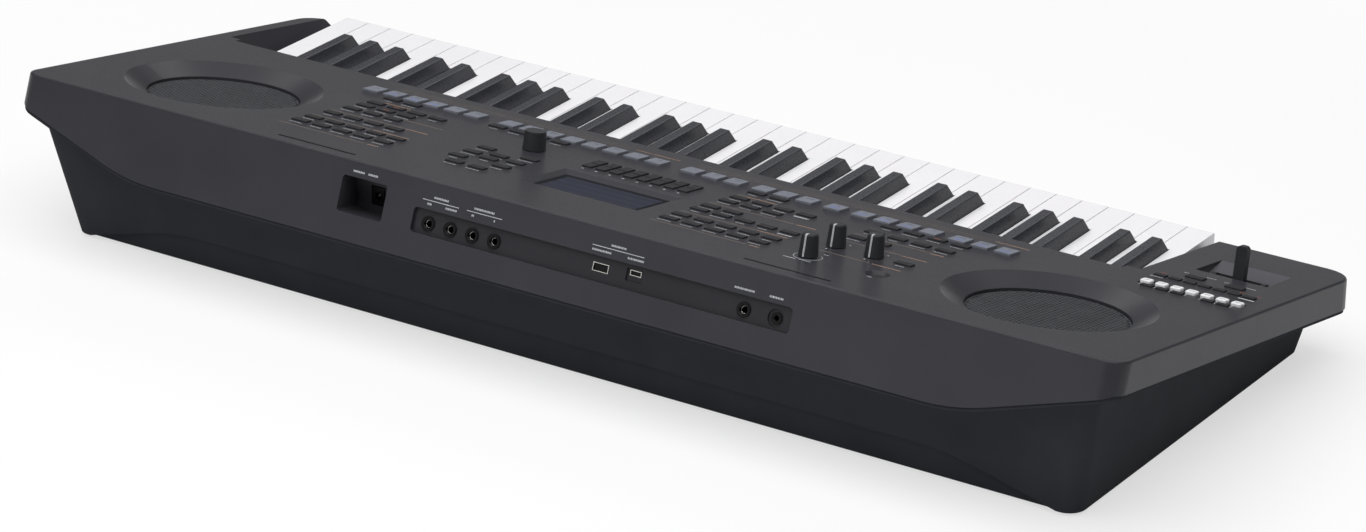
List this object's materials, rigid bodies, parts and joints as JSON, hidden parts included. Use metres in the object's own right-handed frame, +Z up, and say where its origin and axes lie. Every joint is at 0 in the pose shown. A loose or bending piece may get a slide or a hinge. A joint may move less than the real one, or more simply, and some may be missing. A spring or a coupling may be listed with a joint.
{
  "type": "arranger keyboard",
  "caption": "Electronic arranger keyboard with piano-style keys, sloping control panel of buttons, knobs, display and bend lever, two speakers and rear sockets.",
  "frame": {"origin": "on the floor under the middle of the instrument", "axes": "+X to the player's right along the keys, +Y away from the player to the rear sockets, +Z up"},
  "size_m": [1.003, 0.4202, 0.1438],
  "materials": {
    "case_top": "fine matte texture",
    "case_bottom": "coarse matte texture",
    "white_key": "satin gloss",
    "black_key": "satin",
    "grey_pad": "soft matte rubber",
    "black_button": "satin",
    "white_pad": "satin",
    "knob": "satin",
    "grille": "matte paint",
    "speaker": "dark basket and cone",
    "window": "clear gloss",
    "lcd": "dark display",
    "board": "board lacquer",
    "frame": "plain",
    "steel": "zinc plated",
    "rubber": "matte",
    "felt": "felt",
    "socket": "gloss",
    "port": "plated"
  },
  "bodies": {
    "case": {"upper_case": "case_top", "lever_well": "case_top", "lower_case": "case_bottom", "left_grille": "grille", "right_grille": "grille", "left_speaker": "speaker", "right_speaker": "speaker", "display_window": "window", "lcd_module": "lcd", "panel_board": "board", "main_board": "board", "socket_board": "board", "contact_board": "board", "key_frame": "frame", "key_pivot_rod": "steel", "case_screws": "steel", "frame_screws": "steel", "rubber_feet": "rubber", "contact_rubber": "rubber", "key_felt": "felt", "output_sockets": "socket", "microphone_socket": "socket", "audio_socket": "socket", "power_inlet": "socket", "knob_pots": "socket", "dial_encoder": "socket", "power_switch": "socket", "usb_host_port": "port", "usb_device_port": "port"},
    "keys_c": {"keys_c": "white_key"},
    "keys_d": {"keys_d": "white_key"},
    "keys_e": {"keys_e": "white_key"},
    "keys_f": {"keys_f": "white_key"},
    "keys_g": {"keys_g": "white_key"},
    "keys_a": {"keys_a": "white_key"},
    "keys_b": {"keys_b": "white_key"},
    "keys_c_sharp": {"keys_c_sharp": "black_key"},
    "keys_d_sharp": {"keys_d_sharp": "black_key"},
    "keys_f_sharp": {"keys_f_sharp": "black_key"},
    "keys_g_sharp": {"keys_g_sharp": "black_key"},
    "keys_a_sharp": {"keys_a_sharp": "black_key"},
    "right_pads": {"right_pads": "grey_pad"},
    "style_pads": {"style_pads": "grey_pad"},
    "left_pads": {"left_pads": "grey_pad"},
    "voice_buttons": {"voice_buttons": "black_button"},
    "style_buttons": {"style_buttons": "black_button"},
    "effect_buttons": {"effect_buttons": "black_button"},
    "cursor_buttons": {"cursor_buttons": "black_button"},
    "screen_buttons": {"screen_buttons": "black_button"},
    "chord_pads": {"chord_pads": "white_pad"},
    "chord_buttons": {"chord_buttons": "black_button"},
    "power_button": {"power_button": "black_button"},
    "knob_1": {"knob_1": "knob"},
    "knob_2": {"knob_2": "knob"},
    "knob_3": {"knob_3": "knob"},
    "data_dial": {"data_dial": "knob"},
    "lever_cradle": {"lever_cradle": "knob", "lever_pin": "steel"},
    "pitch_lever": {"pitch_lever": "knob"}
  },
  "joints": [
    {"name": "keys_c_press", "type": "hinge", "parent": "case", "child": "keys_c", "pos_m": [0, -0.0205, 0.0595], "axis": [1, 0, 0], "range_deg": [0, 3], "stiffness_Nm_per_rad": 2, "springref_deg": -20.05},
    {"name": "keys_d_press", "type": "hinge", "parent": "case", "child": "keys_d", "pos_m": [0, -0.0205, 0.0595], "axis": [1, 0, 0], "range_deg": [0, 3], "stiffness_Nm_per_rad": 2, "springref_deg": -20.05},
    {"name": "keys_e_press", "type": "hinge", "parent": "case", "child": "keys_e", "pos_m": [0, -0.0205, 0.0595], "axis": [1, 0, 0], "range_deg": [0, 3], "stiffness_Nm_per_rad": 2, "springref_deg": -20.05},
    {"name": "keys_f_press", "type": "hinge", "parent": "case", "child": "keys_f", "pos_m": [0, -0.0205, 0.0595], "axis": [1, 0, 0], "range_deg": [0, 3], "stiffness_Nm_per_rad": 2, "springref_deg": -20.05},
    {"name": "keys_g_press", "type": "hinge", "parent": "case", "child": "keys_g", "pos_m": [0, -0.0205, 0.0595], "axis": [1, 0, 0], "range_deg": [0, 3], "stiffness_Nm_per_rad": 2, "springref_deg": -20.05},
    {"name": "keys_a_press", "type": "hinge", "parent": "case", "child": "keys_a", "pos_m": [0, -0.0205, 0.0595], "axis": [1, 0, 0], "range_deg": [0, 3], "stiffness_Nm_per_rad": 2, "springref_deg": -20.05},
    {"name": "keys_b_press", "type": "hinge", "parent": "case", "child": "keys_b", "pos_m": [0, -0.0205, 0.0595], "axis": [1, 0, 0], "range_deg": [0, 3], "stiffness_Nm_per_rad": 2, "springref_deg": -20.05},
    {"name": "keys_c_sharp_press", "type": "hinge", "parent": "case", "child": "keys_c_sharp", "pos_m": [0, -0.0205, 0.0595], "axis": [1, 0, 0], "range_deg": [0, 3], "stiffness_Nm_per_rad": 2, "springref_deg": -20.05},
    {"name": "keys_d_sharp_press", "type": "hinge", "parent": "case", "child": "keys_d_sharp", "pos_m": [0, -0.0205, 0.0595], "axis": [1, 0, 0], "range_deg": [0, 3], "stiffness_Nm_per_rad": 2, "springref_deg": -20.05},
    {"name": "keys_f_sharp_press", "type": "hinge", "parent": "case", "child": "keys_f_sharp", "pos_m": [0, -0.0205, 0.0595], "axis": [1, 0, 0], "range_deg": [0, 3], "stiffness_Nm_per_rad": 2, "springref_deg": -20.05},
    {"name": "keys_g_sharp_press", "type": "hinge", "parent": "case", "child": "keys_g_sharp", "pos_m": [0, -0.0205, 0.0595], "axis": [1, 0, 0], "range_deg": [0, 3], "stiffness_Nm_per_rad": 2, "springref_deg": -20.05},
    {"name": "keys_a_sharp_press", "type": "hinge", "parent": "case", "child": "keys_a_sharp", "pos_m": [0, -0.0205, 0.0595], "axis": [1, 0, 0], "range_deg": [0, 3], "stiffness_Nm_per_rad": 2, "springref_deg": -20.05},
    {"name": "right_pads_press", "type": "slide", "parent": "case", "child": "right_pads", "axis": [0, 0.1779, -0.984], "range_m": [0, 0.0012], "stiffness_N_per_m": 1500, "springref_m": -0.002},
    {"name": "style_pads_press", "type": "slide", "parent": "case", "child": "style_pads", "axis": [0, 0.1779, -0.984], "range_m": [0, 0.0012], "stiffness_N_per_m": 1500, "springref_m": -0.002},
    {"name": "left_pads_press", "type": "slide", "parent": "case", "child": "left_pads", "axis": [0, 0.1779, -0.984], "range_m": [0, 0.0012], "stiffness_N_per_m": 1500, "springref_m": -0.002},
    {"name": "voice_buttons_press", "type": "slide", "parent": "case", "child": "voice_buttons", "axis": [0, 0.1779, -0.984], "range_m": [0, 0.0012], "stiffness_N_per_m": 1500, "springref_m": -0.002},
    {"name": "style_buttons_press", "type": "slide", "parent": "case", "child": "style_buttons", "axis": [0, 0.1779, -0.984], "range_m": [0, 0.0012], "stiffness_N_per_m": 1500, "springref_m": -0.002},
    {"name": "effect_buttons_press", "type": "slide", "parent": "case", "child": "effect_buttons", "axis": [0, 0.1779, -0.984], "range_m": [0, 0.0012], "stiffness_N_per_m": 1500, "springref_m": -0.002},
    {"name": "cursor_buttons_press", "type": "slide", "parent": "case", "child": "cursor_buttons", "axis": [0, 0.1779, -0.984], "range_m": [0, 0.0012], "stiffness_N_per_m": 1500, "springref_m": -0.002},
    {"name": "screen_buttons_press", "type": "slide", "parent": "case", "child": "screen_buttons", "axis": [0, 0.1779, -0.984], "range_m": [0, 0.0012], "stiffness_N_per_m": 1500, "springref_m": -0.002},
    {"name": "chord_pads_press", "type": "slide", "parent": "case", "child": "chord_pads", "axis": [0, 0.1779, -0.984], "range_m": [0, 0.0012], "stiffness_N_per_m": 1500, "springref_m": -0.002},
    {"name": "chord_buttons_press", "type": "slide", "parent": "case", "child": "chord_buttons", "axis": [0, 0.1779, -0.984], "range_m": [0, 0.0012], "stiffness_N_per_m": 1500, "springref_m": -0.002},
    {"name": "power_press", "type": "slide", "parent": "case", "child": "power_button", "axis": [0, 0.1779, -0.984], "range_m": [0, 0.0015], "stiffness_N_per_m": 600, "springref_m": -0.002},
    {"name": "knob_1_turn", "type": "hinge", "parent": "case", "child": "knob_1", "pos_m": [-0.2051, 0.12776, 0.12501], "axis": [0, -0.1779, 0.984], "range_deg": [-150, 150]},
    {"name": "knob_2_turn", "type": "hinge", "parent": "case", "child": "knob_2", "pos_m": [-0.2029, 0.08446, 0.11718], "axis": [0, -0.1779, 0.984], "range_deg": [-150, 150]},
    {"name": "knob_3_turn", "type": "hinge", "parent": "case", "child": "knob_3", "pos_m": [-0.2369, 0.08574, 0.11741], "axis": [0, -0.1779, 0.984], "range_deg": [-150, 150]},
    {"name": "data_dial_turn", "type": "hinge", "parent": "case", "child": "data_dial", "pos_m": [0.1059, 0.03654, 0.10851], "axis": [0, -0.1779, 0.984], "continuous": true},
    {"name": "lever_tip", "type": "hinge", "parent": "case", "child": "lever_cradle", "pos_m": [-0.4445, -0.10599, 0.07512], "axis": [1, 0, 0], "range_deg": [-18, 18], "stiffness_Nm_per_rad": 0.15},
    {"name": "lever_bend", "type": "hinge", "parent": "lever_cradle", "child": "pitch_lever", "pos_m": [-0.4445, -0.10599, 0.07512], "axis": [0, 0.984, 0.1779], "range_deg": [-18, 18], "stiffness_Nm_per_rad": 0.15}
  ]
}
